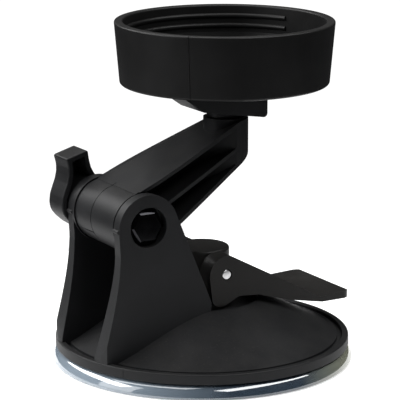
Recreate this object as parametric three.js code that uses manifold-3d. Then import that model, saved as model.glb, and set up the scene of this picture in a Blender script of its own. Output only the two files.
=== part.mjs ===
// A lever-lock suction mount with a tilting arm and a threaded ring holder, in millimetres, +Z up.
// Origin: centre of the suction cup's underside. The arm swings in the X-Z plane, with the clamp
// knob on +Y and the lever's paddle on +X.
import * as THREE from 'three';
import { mergeVertices } from 'three/addons/utils/BufferGeometryUtils.js';
import Module from 'manifold-3d';

const wasm = await Module();
wasm.setup();

// ---- driving dimensions ----
const GAP = 0.3; // clearance between neighbouring pieces
const TOOL = 200; // reach of a cutting solid past the piece it cuts

const CUP_R = 60;
const CUP_SEAL_R = 46;
const CUP_TOP = 5.3;
const CUP_HOLLOW = 3.5;
const CUP_HUB_R = 17;
const CUP_HUB_TOP = 12;

const RIM_R = 58.5;
const RIM_BOTTOM = CUP_TOP + GAP;
const RIM_TOP = 9.6;
const DOME_TOP = 24.1;
const DOME_WALL = 2.5;

const STEM_R = 10.8;
const STEM_TOP = 44.9;
const GUIDE_R = STEM_R + GAP;
const FOOT_R = 18;

const PIN_Z = 37.1;
const PIN_R = 2;
const LANDING_Z = PIN_Z - 13.8; // flat on the dome that the two cams press on
const LANDING_R = 21.9;

const LEVER_HALF = 19.3;
const CHEEK_IN = STEM_R + 0.7;
const HUB_R = 7.7;
const CAM = { x: -2.4, z: -8.2, r: 4.5 };
const PADDLE_IN = 43.7;
const PADDLE_OUT = 58.6;
const PADDLE_TOP = -14.4;
const PADDLE_T = 3;

const PIVOT = { x: -35.8, z: 61 };
const EAR_R = 12.7;
const EAR_OUT = 21.3;
const EAR_T = 4.5;
const EAR_FLARE_Z = 47;
const EAR_FOOT_IN = 12.8;
const EAR_LEAN = THREE.MathUtils.degToRad(22.7);

const BOLT_R = 4;
const HEX_ACROSS = 13;
const HEAD_HOLE_R = 7.8;
const HEAD_HOLE_DEPTH = 3.5;
const HEAD_T = 2.2;

const BARREL_R = 12.4;
const BARREL_HALF = 16.3;
const BUSH_R = 6.5;
const BUSH_LENGTH = 9;
const ARM_TOP = { z: 74.1, slope: 0.449 }; // heights above X = PIVOT.x
const ARM_RIB = { z: 63.4, slope: 0.474 };
const ARM_BOTTOM = { z: 48, slope: 0.628 };
const ARM_END_X = 19.5;
const ARM_END_R = 10;
const ARM_END_TOP = 95.6;
const ARM_TAPER_X = -15.5;
const FLANGE_T = 1.9;
const RIB_T = 1.6;
const WEB_HALF = 1.2;

const HEAD_X = 10.2; // swivel axis
const COLLAR_R = 8.4;
const COLLAR_TOP = 96;
const SCREW_R = 3;
const NUT_ACROSS = 10;
const NUT_T = 5;
const NUT_BOTTOM = 82;

const BLOCK_HALF = 9;
const BLOCK_TOP = 109.1;
const RING_BOTTOM = BLOCK_TOP + GAP;
const RING_TOP = 134.1;
const RING_R_LOW = 41.2;
const RING_R_HIGH = 43.3;
const RING_WALL = 3.5;
const RING_FLOOR = 112.4;
const THREAD_DROPS = [4.5, 8.5];
const RING_SCREWS = [
  [-6, -5.2],
  [-6, 5.2],
  [21, -5.2],
  [21, 5.2],
];
const SMALL_SCREW_R = 1.4;
const SMALL_HEAD_R = 2.8;

const KNOB_IN = 21.7;
const KNOB_OUT = 33.3;
const KNOB_CORE_R = 11.9;
const KNOB_LEAN = THREE.MathUtils.degToRad(16);
const KNOB_WALL = 2;
// Half the knob's outline before it leans; the other half is the same, turned half a turn.
const KNOB_HALF = [
  [13.2, 1.2], [11.2, 4.4], [8.6, 7.4], [5.6, 9.6], [3.3, 11.8], [2.5, 15.4], [2.6, 19], [3.1, 22.6],
  [-6.9, 22.6], [-7, 18.6], [-7.8, 15.8], [-9.3, 13.1], [-11.2, 10.6], [-13, 8.1], [-14.2, 5.1],
  [-14.6, 2],
];
const WASHER_T = 1.2;

// ---- materials ----
function plastic(color, roughness) {
  return new THREE.MeshStandardMaterial({ color, roughness, metalness: 0 });
}

function steel(color, roughness) {
  return new THREE.MeshStandardMaterial({ color, roughness, metalness: 1 });
}

const BLACK = plastic(0x222325, 0.55);
const WARM_BLACK = plastic(0x2e2b28, 0.55);
const CLEAR = new THREE.MeshStandardMaterial({
  color: 0xb9c6cc, roughness: 0.1, metalness: 0, transparent: true, opacity: 0.4,
});
const BRIGHT = steel(0xb8babd, 0.25);
const DARK_CHROME = steel(0x1c1d20, 0.2);
const BUSH_GREY = plastic(0x3a3b3d, 0.4);

// ---- solids ----
function asSolid(geometry) {
  const bare = geometry.index ? geometry.toNonIndexed() : geometry.clone();
  bare.deleteAttribute('normal');
  bare.deleteAttribute('uv');
  const merged = mergeVertices(bare, 1e-4);
  const place = merged.getAttribute('position');
  const tris = Array.from(merged.index.array);
  const a = new THREE.Vector3();
  const b = new THREE.Vector3();
  const c = new THREE.Vector3();
  let volume = 0;
  for (let i = 0; i < tris.length; i += 3) {
    a.fromBufferAttribute(place, tris[i]);
    b.fromBufferAttribute(place, tris[i + 1]);
    c.fromBufferAttribute(place, tris[i + 2]);
    volume += a.dot(b.cross(c));
  }
  if (volume < 0) tris.reverse();
  const kept = [];
  for (let i = 0; i < tris.length; i += 3) {
    const [p, q, r] = [tris[i], tris[i + 1], tris[i + 2]];
    if (p !== q && q !== r && r !== p) kept.push(p, q, r);
  }
  return new wasm.Manifold(new wasm.Mesh({
    numProp: 3,
    vertProperties: new Float32Array(place.array),
    triVerts: new Uint32Array(kept),
  }));
}

function asMesh(name, solid, material) {
  const { vertProperties, triVerts } = solid.getMesh();
  const geometry = new THREE.BufferGeometry();
  geometry.setAttribute('position', new THREE.BufferAttribute(vertProperties, 3));
  geometry.setIndex(new THREE.BufferAttribute(triVerts, 1));
  geometry.computeVertexNormals();
  const mesh = new THREE.Mesh(geometry, material);
  mesh.name = name;
  return mesh;
}

// A closed profile of [radius, height] points, turned about the vertical line through (x, 0).
function turned(profile, segments = 48, x = 0) {
  const points = profile.map(([r, z]) => new THREE.Vector2(r, z));
  points.push(points[0].clone());
  const geometry = new THREE.LatheGeometry(points, segments);
  return asSolid(geometry.rotateX(Math.PI / 2).translate(x, 0, 0));
}

function post(x, y, radius, low, high, segments = 32) {
  const geometry = new THREE.CylinderGeometry(radius, radius, high - low, segments);
  return asSolid(geometry.rotateX(Math.PI / 2).translate(x, y, (low + high) / 2));
}

// A round bar along Y through (x, z).
function bar(x, z, radius, low, high, segments = 32) {
  const geometry = new THREE.CylinderGeometry(radius, radius, high - low, segments);
  return asSolid(geometry.translate(x, (low + high) / 2, z));
}

function box(low, high) {
  const size = high.map((v, i) => v - low[i]);
  const middle = high.map((v, i) => (v + low[i]) / 2);
  return asSolid(new THREE.BoxGeometry(...size).translate(...middle));
}

// An outline in X-Z, extruded along Y.
function sidePlate(shape, low, high, curveSegments = 10) {
  const geometry = new THREE.ExtrudeGeometry(shape, {
    depth: high - low, bevelEnabled: false, curveSegments,
  });
  return asSolid(geometry.rotateX(Math.PI / 2).translate(0, high, 0));
}

// An outline in X-Y, extruded along Z.
function planPlate(shape, low, high, curveSegments = 12) {
  const geometry = new THREE.ExtrudeGeometry(shape, {
    depth: high - low, bevelEnabled: false, curveSegments,
  });
  return asSolid(geometry.translate(0, 0, low));
}

function outline(points) {
  return new THREE.Shape(points.map(([x, y]) => new THREE.Vector2(x, y)));
}

function hexagon(across, x = 0, y = 0, turn = 0) {
  const radius = across / Math.sqrt(3);
  const points = [];
  for (let i = 0; i < 6; i++) {
    const angle = turn + (i * Math.PI) / 3;
    points.push([x + radius * Math.cos(angle), y + radius * Math.sin(angle)]);
  }
  return outline(points);
}

function joined(solids) {
  return solids.reduce((sum, next) => sum.add(next));
}

// ---- suction cup and base ----
function suctionCup() {
  return turned([
    [0, CUP_HOLLOW], [14, CUP_HOLLOW], [CUP_SEAL_R - 10, 1.4], [CUP_SEAL_R, 0], [CUP_R - 0.4, 0],
    [CUP_R, 0.5], [CUP_R - 0.4, 1.3], [58.2, 3.2], [57.4, CUP_TOP - 0.3], [56.6, CUP_TOP],
    [50, CUP_TOP], [30, 7.2], [CUP_HUB_R + 3, 8.6], [CUP_HUB_R, CUP_HUB_TOP], [0, CUP_HUB_TOP],
  ]);
}

function baseProfile() {
  const landing = [[GUIDE_R, LANDING_Z], [LANDING_R, LANDING_Z], [LANDING_R + 0.3, DOME_TOP]];
  const dome = [[22.9, DOME_TOP], [27.2, 22.4], [34.2, 19.4], [42.4, 15.3], [49, 12.5], [53.6, 11.3]];
  const rim = [
    [53.9, 10.9], [54.2, RIM_TOP - 1], [56.8, RIM_TOP - 1], [57, RIM_TOP], [58, RIM_TOP],
    [RIM_R, RIM_TOP - 0.5], [RIM_R, RIM_BOTTOM],
  ];
  const inside = [
    [51.6, RIM_BOTTOM], [51, 8.9], [42, 15.3 - DOME_WALL - 0.4], [33.6, 19.4 - DOME_WALL],
    [26.6, 22.4 - DOME_WALL], [20, LANDING_Z - DOME_WALL], [14.2, LANDING_Z - DOME_WALL],
    [14.2, 16], [GUIDE_R, 16],
  ];
  return { outer: [...landing, ...dome, ...rim], inside };
}

function earOutline() {
  const left = -48.5;
  const footX = -9;
  const touch = { x: PIVOT.x + EAR_R * Math.cos(EAR_LEAN), z: PIVOT.z + EAR_R * Math.sin(EAR_LEAN) };
  const shape = new THREE.Shape();
  shape.moveTo(-56, 6);
  shape.lineTo(-55.4, 11);
  shape.quadraticCurveTo(-50.6, 30, left + 0.5, 49);
  shape.lineTo(left, PIVOT.z);
  shape.absarc(PIVOT.x, PIVOT.z, EAR_R, Math.PI, EAR_LEAN, true);
  shape.lineTo(touch.x + (touch.z - 28) * Math.tan(EAR_LEAN), 28);
  shape.lineTo(footX, 23);
  shape.lineTo(footX, 6);
  return shape;
}

function ear(side) {
  const plate = sidePlate(earOutline(), -TOOL / 2, TOOL / 2, 8);
  const section = outline([
    [side * EAR_OUT, 6], [side * EAR_OUT, 80], [side * (EAR_OUT - EAR_T), 80],
    [side * (EAR_OUT - EAR_T), EAR_FLARE_Z], [side * EAR_FOOT_IN, 6],
  ]);
  const across = new THREE.ExtrudeGeometry(section, { depth: TOOL, bevelEnabled: false });
  across.rotateX(Math.PI / 2).rotateZ(Math.PI / 2).translate(-TOOL / 2, 0, 0);
  return plate.intersect(asSolid(across));
}

function baseShell() {
  const { outer, inside } = baseProfile();
  const shell = turned([...outer, ...inside], 64);
  const hollow = turned([[0, -1], ...inside.map(([r, z], i) => (i ? [r, z] : [r, -1])), [0, 16]], 64);
  const rimLimit = post(0, 0, RIM_R - 0.2, 0, 90, 64);
  const ears = ear(1).add(ear(-1)).intersect(rimLimit).subtract(hollow);
  const boltHole = bar(PIVOT.x, PIVOT.z, BOLT_R + GAP, -TOOL, TOOL, 24);
  const headHole = bar(PIVOT.x, PIVOT.z, HEAD_HOLE_R, -TOOL, HEAD_HOLE_DEPTH - EAR_OUT, 32);
  return shell.add(ears).subtract(boltHole).subtract(headHole);
}

function pivotBolt() {
  const headOut = HEAD_HOLE_DEPTH - EAR_OUT - GAP - HEAD_T;
  const head = sidePlate(hexagon(HEX_ACROSS, PIVOT.x, PIVOT.z, Math.PI / 6), headOut, headOut + HEAD_T);
  return head.add(bar(PIVOT.x, PIVOT.z, BOLT_R, headOut + 1, KNOB_OUT - 2.6, 24));
}

// ---- stem and lever ----
function cupStem() {
  const low = CUP_HUB_TOP + GAP;
  const body = turned([
    [0, low], [FOOT_R, low], [FOOT_R, low + 1.2], [STEM_R + 1, low + 2.2], [STEM_R, low + 2.4],
    [STEM_R, STEM_TOP - 1.2], [STEM_R - 1.2, STEM_TOP], [0, STEM_TOP],
  ], 40);
  return body.subtract(bar(0, PIN_Z, PIN_R + GAP, -TOOL, TOOL, 20));
}

function leverPin() {
  return bar(0, PIN_Z, PIN_R, -LEVER_HALF, LEVER_HALF, 20);
}

function leverOutline() {
  const shape = new THREE.Shape();
  const at = (x, z) => [x, PIN_Z + z];
  shape.absarc(0, PIN_Z, HUB_R, THREE.MathUtils.degToRad(78), Math.PI, false);
  shape.absarc(CAM.x, PIN_Z + CAM.z, CAM.r, Math.PI, 2 * Math.PI, false);
  shape.lineTo(...at(4.7, -8.8));
  shape.lineTo(...at(14.8, -10));
  shape.lineTo(...at(29.8, -14.5));
  shape.lineTo(...at(PADDLE_IN + 1, PADDLE_TOP - PADDLE_T));
  shape.lineTo(...at(PADDLE_OUT, PADDLE_TOP - PADDLE_T));
  shape.lineTo(...at(PADDLE_OUT, PADDLE_TOP));
  shape.lineTo(...at(PADDLE_IN, PADDLE_TOP - 0.6));
  return shape;
}

function leverPlan() {
  const shape = new THREE.Shape();
  const corner = 4;
  shape.moveTo(-20, -LEVER_HALF);
  shape.lineTo(PADDLE_OUT - corner, -LEVER_HALF);
  shape.absarc(PADDLE_OUT - corner, corner - LEVER_HALF, corner, -Math.PI / 2, 0, false);
  shape.absarc(PADDLE_OUT - corner, LEVER_HALF - corner, corner, 0, Math.PI / 2, false);
  shape.lineTo(-20, LEVER_HALF);
  return shape;
}

function lockLever() {
  const body = sidePlate(leverOutline(), -LEVER_HALF, LEVER_HALF, 12)
    .intersect(planPlate(leverPlan(), 0, 90, 6));
  const slot = box([-30, -CHEEK_IN, 0], [0, CHEEK_IN, 90]).add(post(0, 0, CHEEK_IN, 0, 90, 40));
  const sweep = box([0, -CHEEK_IN, 0], [13.4, CHEEK_IN, 90]);
  const pinHole = bar(0, PIN_Z, PIN_R + GAP, -TOOL, TOOL, 20);
  return body.subtract(slot).subtract(sweep).subtract(pinHole);
}

// ---- clamp knob ----
// Moves each corner of a counter-clockwise outline inwards by a wall's thickness.
function shrunk(points, by) {
  return points.map(([x, z], i) => {
    const [backX, backZ] = points.at(i - 1);
    const [nextX, nextZ] = points[(i + 1) % points.length];
    const back = new THREE.Vector2(backZ - z, x - backX).normalize();
    const ahead = new THREE.Vector2(z - nextZ, nextX - x).normalize();
    const inward = back.clone().add(ahead).normalize();
    inward.multiplyScalar(by / inward.dot(back));
    return [x + inward.x, z + inward.y];
  });
}

function knobPlate(points, low, high) {
  const spin = new THREE.Vector2();
  const middle = new THREE.Vector2();
  const leaning = points.map(([x, z]) => {
    spin.set(x, z).rotateAround(middle, KNOB_LEAN);
    return [PIVOT.x + spin.x, PIVOT.z + spin.y];
  });
  return sidePlate(outline(leaning), low, high);
}

function clampKnob() {
  const rim = [...KNOB_HALF, ...KNOB_HALF.map(([x, z]) => [-x, -z])];
  const core = bar(PIVOT.x, PIVOT.z, KNOB_CORE_R, KNOB_IN - 1, KNOB_OUT, 40);
  const pockets = knobPlate(shrunk(rim, KNOB_WALL), KNOB_IN - 1, KNOB_OUT - KNOB_WALL).subtract(core);
  const nutPocket = sidePlate(
    hexagon(HEX_ACROSS + 2 * GAP, PIVOT.x, PIVOT.z), KNOB_IN - 1, KNOB_OUT - 2.2);
  const washerSeat = bar(PIVOT.x, PIVOT.z, 8.9, KNOB_IN - 1, KNOB_IN + WASHER_T + GAP, 32);
  return knobPlate(rim, KNOB_IN, KNOB_OUT).subtract(pockets).subtract(nutPocket).subtract(washerSeat);
}

function knobWasher() {
  const low = EAR_OUT + GAP / 2;
  return bar(PIVOT.x, PIVOT.z, 8.5, low, low + WASHER_T, 32)
    .subtract(bar(PIVOT.x, PIVOT.z, BOLT_R + GAP, -TOOL, TOOL, 24));
}

function knobNut() {
  const low = KNOB_IN + WASHER_T + 2 * GAP;
  return sidePlate(hexagon(HEX_ACROSS, PIVOT.x, PIVOT.z), low, low + 6.5)
    .subtract(bar(PIVOT.x, PIVOT.z, BOLT_R + GAP, -TOOL, TOOL, 24));
}

// ---- tilting arm ----
function onLine(line, x, drop = 0) {
  return [x, line.z + line.slope * (x - PIVOT.x) - drop];
}

function armSide() {
  const endX = ARM_END_X + 1;
  const flatX = PIVOT.x + (ARM_END_TOP - ARM_TOP.z) / ARM_TOP.slope;
  return outline([
    onLine(ARM_TOP, -38.4, 0.4), [flatX, ARM_END_TOP], [endX, ARM_END_TOP],
    onLine(ARM_BOTTOM, endX, -2), onLine(ARM_BOTTOM, endX - 3), onLine(ARM_BOTTOM, -29.6),
    [PIVOT.x, PIVOT.z],
  ]);
}

function armPlan() {
  const shape = new THREE.Shape();
  const centre = ARM_END_X - ARM_END_R;
  const turn = THREE.MathUtils.degToRad(76.6);
  shape.moveTo(-50, -BARREL_HALF);
  shape.lineTo(ARM_TAPER_X, -BARREL_HALF);
  shape.absarc(centre, 0, ARM_END_R, -turn, turn, false);
  shape.lineTo(ARM_TAPER_X, BARREL_HALF);
  shape.lineTo(-50, BARREL_HALF);
  return shape;
}

// The pockets that leave the web, the middle rib and the flanges.
function armPockets() {
  const from = -34;
  const to = 8.5;
  const upper = outline([
    onLine(ARM_RIB, from), onLine(ARM_RIB, to), onLine(ARM_TOP, to, FLANGE_T),
    onLine(ARM_TOP, from, FLANGE_T),
  ]);
  const lower = outline([
    onLine(ARM_BOTTOM, from, -FLANGE_T), onLine(ARM_BOTTOM, to, -FLANGE_T),
    onLine(ARM_RIB, to, RIB_T), onLine(ARM_RIB, from, RIB_T),
  ]);
  const cuts = [];
  for (const shape of [upper, lower]) {
    cuts.push(sidePlate(shape, WEB_HALF, 30), sidePlate(shape, -30, -WEB_HALF));
  }
  const screwBoss = post(HEAD_X, 0, 7, 60, 100, 24);
  return joined(cuts).subtract(screwBoss);
}

function tiltArm() {
  const beam = sidePlate(armSide(), -30, 30).intersect(planPlate(armPlan(), 40, 110));
  const barrel = bar(PIVOT.x, PIVOT.z, BARREL_R, -BARREL_HALF, BARREL_HALF, 40);
  const collar = post(HEAD_X, 0, COLLAR_R, 88, COLLAR_TOP, 40);
  const boltBore = bar(PIVOT.x, PIVOT.z, BUSH_R + GAP, -TOOL, TOOL, 32);
  const screwBore = post(HEAD_X, 0, SCREW_R + GAP, 60, 120, 20);
  const nutPocket = planPlate(hexagon(NUT_ACROSS + 2 * GAP, HEAD_X, 0), 60, NUT_BOTTOM + NUT_T + GAP);
  return beam.subtract(armPockets()).add(barrel).add(collar)
    .subtract(boltBore).subtract(screwBore).subtract(nutPocket);
}

function armBush(side) {
  const ends = [side * (BARREL_HALF - BUSH_LENGTH), side * BARREL_HALF].sort((a, b) => a - b);
  return bar(PIVOT.x, PIVOT.z, BUSH_R, ...ends, 32)
    .subtract(bar(PIVOT.x, PIVOT.z, BOLT_R + GAP, -TOOL, TOOL, 24));
}

function swivelNut() {
  return planPlate(hexagon(NUT_ACROSS, HEAD_X, 0), NUT_BOTTOM, NUT_BOTTOM + NUT_T)
    .subtract(post(HEAD_X, 0, SCREW_R + 0.15, 60, 120, 20));
}

// ---- swivelling head ----
function headBracket() {
  const side = outline([
    [-17.2, BLOCK_TOP], [-4.2, 100.1], [22.5, 96.1], [24.6, 97.6], [24.6, BLOCK_TOP],
  ]);
  const block = sidePlate(side, -BLOCK_HALF, BLOCK_HALF);
  const cuts = [
    post(HEAD_X, 0, SCREW_R + GAP, 90, 120, 20),
    post(HEAD_X, 0, 7.5, 90, 99.1, 32),
    post(HEAD_X, 0, 7.5, 104.6, 120, 32),
    ...RING_SCREWS.map(([x, y]) => post(x, y, SMALL_SCREW_R + GAP, 101.4, 120, 16)),
  ];
  return block.subtract(joined(cuts));
}

function swivelWasher(low, thickness) {
  return post(HEAD_X, 0, 7, low, low + thickness, 32).subtract(
    post(HEAD_X, 0, SCREW_R + GAP, 60, 130, 20));
}

function swivelScrew() {
  const head = planPlate(hexagon(NUT_ACROSS, HEAD_X, 0), 106.4, 108.8);
  return head.add(post(HEAD_X, 0, SCREW_R, 80.5, 107, 20));
}

function threadedRing() {
  const wallAt = (z) => RING_R_LOW
    + ((RING_R_HIGH - RING_R_LOW) * (z - RING_BOTTOM)) / (RING_TOP - RING_BOTTOM);
  const bore = RING_R_HIGH - RING_WALL;
  const ridges = [];
  for (const drop of THREAD_DROPS) {
    const z = RING_TOP - drop;
    ridges.push([bore, z + 0.9], [bore - 0.9, z + 0.3], [bore - 0.9, z - 0.3], [bore, z - 0.9]);
  }
  const shell = turned([
    [0, RING_BOTTOM], [RING_R_LOW - 1.2, RING_BOTTOM], [wallAt(RING_BOTTOM + 1.2), RING_BOTTOM + 1.2],
    [wallAt(RING_TOP - 0.6), RING_TOP - 0.6], [RING_R_HIGH - 0.6, RING_TOP],
    [bore + 0.6, RING_TOP], [bore, RING_TOP - 0.6], ...ridges, [RING_R_LOW - RING_WALL, RING_FLOOR + 2],
    [RING_R_LOW - RING_WALL - 1, RING_FLOOR], [0, RING_FLOOR],
  ], 56, HEAD_X);
  const cuts = RING_SCREWS.flatMap(([x, y]) => [
    post(x, y, SMALL_SCREW_R + GAP, 100, 120, 16),
    post(x, y, SMALL_HEAD_R + GAP, RING_FLOOR - 2, 120, 20),
  ]);
  return shell.subtract(joined(cuts));
}

function ringScrew([x, y]) {
  const head = post(x, y, SMALL_HEAD_R, RING_FLOOR - 1.7, RING_FLOOR - 0.1, 20);
  return head.add(post(x, y, SMALL_SCREW_R, 102, RING_FLOOR - 1, 16));
}

// ---- the assembly ----
const mount = new THREE.Group();
mount.add(
  asMesh('suction_cup', suctionCup(), CLEAR),
  asMesh('base_shell', baseShell(), BLACK),
  asMesh('pivot_bolt', pivotBolt(), DARK_CHROME),
  asMesh('cup_stem', cupStem(), WARM_BLACK),
  asMesh('lever_pin', leverPin(), BRIGHT),
  asMesh('lock_lever', lockLever(), WARM_BLACK),
  asMesh('clamp_knob', clampKnob(), BLACK),
  asMesh('knob_nut', knobNut(), BRIGHT),
  asMesh('knob_washer', knobWasher(), BRIGHT),
  asMesh('tilt_arm', tiltArm(), BLACK),
  asMesh('arm_bush_near', armBush(-1), BUSH_GREY),
  asMesh('arm_bush_far', armBush(1), BUSH_GREY),
  asMesh('swivel_nut', swivelNut(), BRIGHT),
  asMesh('head_bracket', headBracket(), BLACK),
  asMesh('swivel_washer_lower', swivelWasher(COLLAR_TOP + GAP, 2.5), BRIGHT),
  asMesh('swivel_washer_upper', swivelWasher(104.9, 1.2), BRIGHT),
  asMesh('swivel_screw', swivelScrew(), BRIGHT),
  asMesh('threaded_ring', threadedRing(), BLACK),
);
RING_SCREWS.forEach((place, i) => {
  mount.add(asMesh(`ring_screw_${i + 1}`, ringScrew(place), BRIGHT));
});

export default mount;
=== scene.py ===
"""Looks of a lever-lock suction mount: clear cup, domed base with two ears, post and lock lever, tilting arm
clamped by a wing knob, and a swivelling threaded ring. Pieces are modelled in millimetres and set down in metres."""
import math

import bmesh
import bpy
from mathutils import Matrix, Vector


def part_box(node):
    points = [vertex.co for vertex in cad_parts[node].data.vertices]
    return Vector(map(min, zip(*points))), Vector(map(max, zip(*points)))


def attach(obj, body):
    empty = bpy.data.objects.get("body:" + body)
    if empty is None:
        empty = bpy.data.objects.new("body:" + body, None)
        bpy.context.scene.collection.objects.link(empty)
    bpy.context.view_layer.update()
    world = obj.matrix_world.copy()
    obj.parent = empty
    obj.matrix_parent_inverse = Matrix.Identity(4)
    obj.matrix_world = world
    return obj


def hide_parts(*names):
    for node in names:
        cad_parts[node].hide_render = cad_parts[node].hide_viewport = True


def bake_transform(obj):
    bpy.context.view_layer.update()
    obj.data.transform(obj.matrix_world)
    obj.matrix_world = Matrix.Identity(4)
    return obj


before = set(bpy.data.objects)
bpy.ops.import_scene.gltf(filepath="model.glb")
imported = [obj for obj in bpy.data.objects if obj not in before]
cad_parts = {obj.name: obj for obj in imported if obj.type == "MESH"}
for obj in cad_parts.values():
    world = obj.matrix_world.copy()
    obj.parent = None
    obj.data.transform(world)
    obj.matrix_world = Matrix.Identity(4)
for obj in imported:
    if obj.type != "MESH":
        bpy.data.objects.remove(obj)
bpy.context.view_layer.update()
MM = 0.001


def centre_mm(node):
    """Middle of a CAD node's box, in millimetres."""
    lo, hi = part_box(node)
    return (lo + hi) / (2 * MM)


def span_mm(node):
    """Lowest and highest corners of a CAD node, in millimetres."""
    lo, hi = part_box(node)
    return lo / MM, hi / MM


# ---- places and sizes, from the frame ----
CUP_R = span_mm("suction_cup")[1].x
SHELL_LO, SHELL_HI = span_mm("base_shell")
RIM_R = SHELL_HI.x
RIM_BOTTOM = SHELL_LO.z
RIM_TOP = RIM_BOTTOM + 4.0
GROOVE_Z = RIM_TOP - 1.4
RIM_NOTCH_DEG = 209
DOME_TOP = RIM_BOTTOM + 18.5
DOME_WALL = 2.5
PIVOT = centre_mm("tilt_arm")
PIVOT.x, PIVOT.z = centre_mm("knob_washer").x, centre_mm("knob_washer").z
EAR_R = SHELL_HI.z - PIVOT.z
EAR_OUT = 21.3
EAR_T = 4.5
EAR_FOOT_IN = 12.8
EAR_FLARE_Z = PIVOT.z - 14
EAR_LEFT = PIVOT.x - EAR_R
EAR_LEAN_DEG = 22.7
HEAD_HOLE_R = 7.8
HEAD_HOLE_DEPTH = 3.5
BOLT_ACROSS = 13
BOLT_R = 4
BOLT_HOLE_R = 4.3
BOLT_HEAD = 2.4
PIN = centre_mm("lever_pin")
PIN_R = 2.0
LEVER_HALF = span_mm("lock_lever")[1].y
PADDLE_OUT = span_mm("lock_lever")[1].x
STEM_R = 10.8
STEM_TOP = span_mm("cup_stem")[1].z
STEM_LOW = span_mm("cup_stem")[0].z
GUIDE_R = STEM_R + 0.3
LANDING_Z = PIN.z - 13.8
LANDING_R = 21.9
CHEEK_IN = STEM_R + 0.7
HUB_R = 7.7
CAM_X, CAM_Z, CAM_R = -2.4, -8.2, 4.5
BARREL_R = 12.4
BARREL_HALF = span_mm("tilt_arm")[1].y
HEAD_X = centre_mm("threaded_ring").x
RING_LO, RING_HI = span_mm("threaded_ring")
RING_R_HIGH = RING_HI.x - HEAD_X
RING_R_LOW = RING_R_HIGH - 2.1
RING_WALL = 3.5
RING_FLOOR = RING_LO.z + 3.0
RING_BORE = RING_R_HIGH - RING_WALL
RING_SEAMS_DEG = (41, 221)
THREAD_DROPS = (4.3, 8.3)
COLLAR_R = 8.4
COLLAR_TOP = span_mm("tilt_arm")[1].z
BLOCK_LO, BLOCK_HI = span_mm("head_bracket")
BLOCK_HALF = 9
SCREW_ACROSS = 10
SCREW_R = 3
SCREW_HOLE_R = 3.3
SEAT_R = 7.5
KNOB_LO, KNOB_HI = span_mm("clamp_knob")
KNOB_LEAN = math.radians(16)
KNOB_WALL = 2
KNOB_CORE_R = 11.9


# ---- outlines ----
def rounded(points, step=math.radians(9)):
    """A closed outline from (x, y) or (x, y, radius) corners, with an arc at each corner that has a radius."""
    made = []
    for i, point in enumerate(points):
        here = Vector(point[:2])
        if len(point) < 3 or point[2] <= 0:
            made.append(tuple(here))
            continue
        back = (Vector(points[i - 1][:2]) - here).normalized()
        ahead = (Vector(points[(i + 1) % len(points)][:2]) - here).normalized()
        half = back.angle(ahead) / 2
        start = here + back * (point[2] / math.tan(half))
        end = here + ahead * (point[2] / math.tan(half))
        middle = here + (back + ahead).normalized() * (point[2] / math.sin(half))
        made += arc(middle, start, end, step)
    return made


def arc(middle, start, end, step):
    """Points of the short arc round middle, from start to end."""
    a, b = start - middle, end - middle
    turn = a.angle_signed(b) if a.length > 0 else 0
    count = max(2, math.ceil(abs(turn) / step))
    found = []
    for k in range(count + 1):
        angle = -turn * k / count
        cos, sin = math.cos(angle), math.sin(angle)
        found.append((middle.x + a.x * cos - a.y * sin, middle.y + a.x * sin + a.y * cos))
    return found


def sweep(x, y, radius, start_deg, end_deg, count):
    """Points of a circular sweep, from one angle to another, in degrees."""
    angles = [math.radians(start_deg + (end_deg - start_deg) * k / count) for k in range(count + 1)]
    return [(x + radius * math.cos(a), y + radius * math.sin(a)) for a in angles]


def bezier(p0, p1, p2, p3, count):
    """Points of a cubic curve, without its first."""
    found = []
    for k in range(1, count + 1):
        t = k / count
        s = 1 - t
        found.append(tuple(s**3 * a + 3 * s * s * t * b + 3 * s * t * t * c + t**3 * d
                           for a, b, c, d in zip(p0, p1, p2, p3)))
    return found


# ---- meshes ----
def new_object(name, bm):
    bmesh.ops.remove_doubles(bm, verts=bm.verts, dist=1e-4)
    bmesh.ops.recalc_face_normals(bm, faces=bm.faces)
    mesh = bpy.data.meshes.new(name)
    bm.to_mesh(mesh)
    bm.free()
    obj = bpy.data.objects.new(name, mesh)
    bpy.context.scene.collection.objects.link(obj)
    return obj


def turned(name, profile, segments=128, x=0.0):
    """A solid turned about the upright line at x; the profile closes on itself or ends on the axis."""
    bm = bmesh.new()
    rings = []
    for r, z in profile:
        if r < 1e-6:
            rings.append([bm.verts.new((x, 0, z))])
            continue
        angles = [2 * math.pi * k / segments for k in range(segments)]
        rings.append([bm.verts.new((x + r * math.cos(a), r * math.sin(a), z)) for a in angles])
    on_axis = len(rings[0]) == 1 and len(rings[-1]) == 1
    pairs = list(zip(rings, rings[1:])) + ([] if on_axis else [(rings[-1], rings[0])])
    for low, high in pairs:
        for k in range(segments):
            n = (k + 1) % segments
            corners = []
            for v in (low[k % len(low)], low[n % len(low)], high[n % len(high)], high[k % len(high)]):
                if v not in corners:
                    corners.append(v)
            if len(corners) > 2:
                bm.faces.new(corners)
    return new_object(name, bm)


AXES = {
    "XZ": lambda u, v, w: (u, w, v),
    "XY": lambda u, v, w: (u, v, w),
    "YZ": lambda u, v, w: (w, u, v),
}


def plate(name, outline, low, high, plane="XZ"):
    """An outline drawn in one plane and extruded across it, from low to high."""
    bm = bmesh.new()
    put = AXES[plane]
    bottom = [bm.verts.new(put(u, v, low)) for u, v in outline]
    top = [bm.verts.new(put(u, v, high)) for u, v in outline]
    bm.faces.new(bottom)
    bm.faces.new(top)
    for k in range(len(outline)):
        n = (k + 1) % len(outline)
        bm.faces.new((bottom[k], bottom[n], top[n], top[k]))
    return new_object(name, bm)


def round_bar(name, x, z, radius, low, high, segments=96):
    """A round bar along Y."""
    return plate(name, sweep(x, z, radius, 0, 360 * (1 - 1 / segments), segments - 1), low, high)


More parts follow.
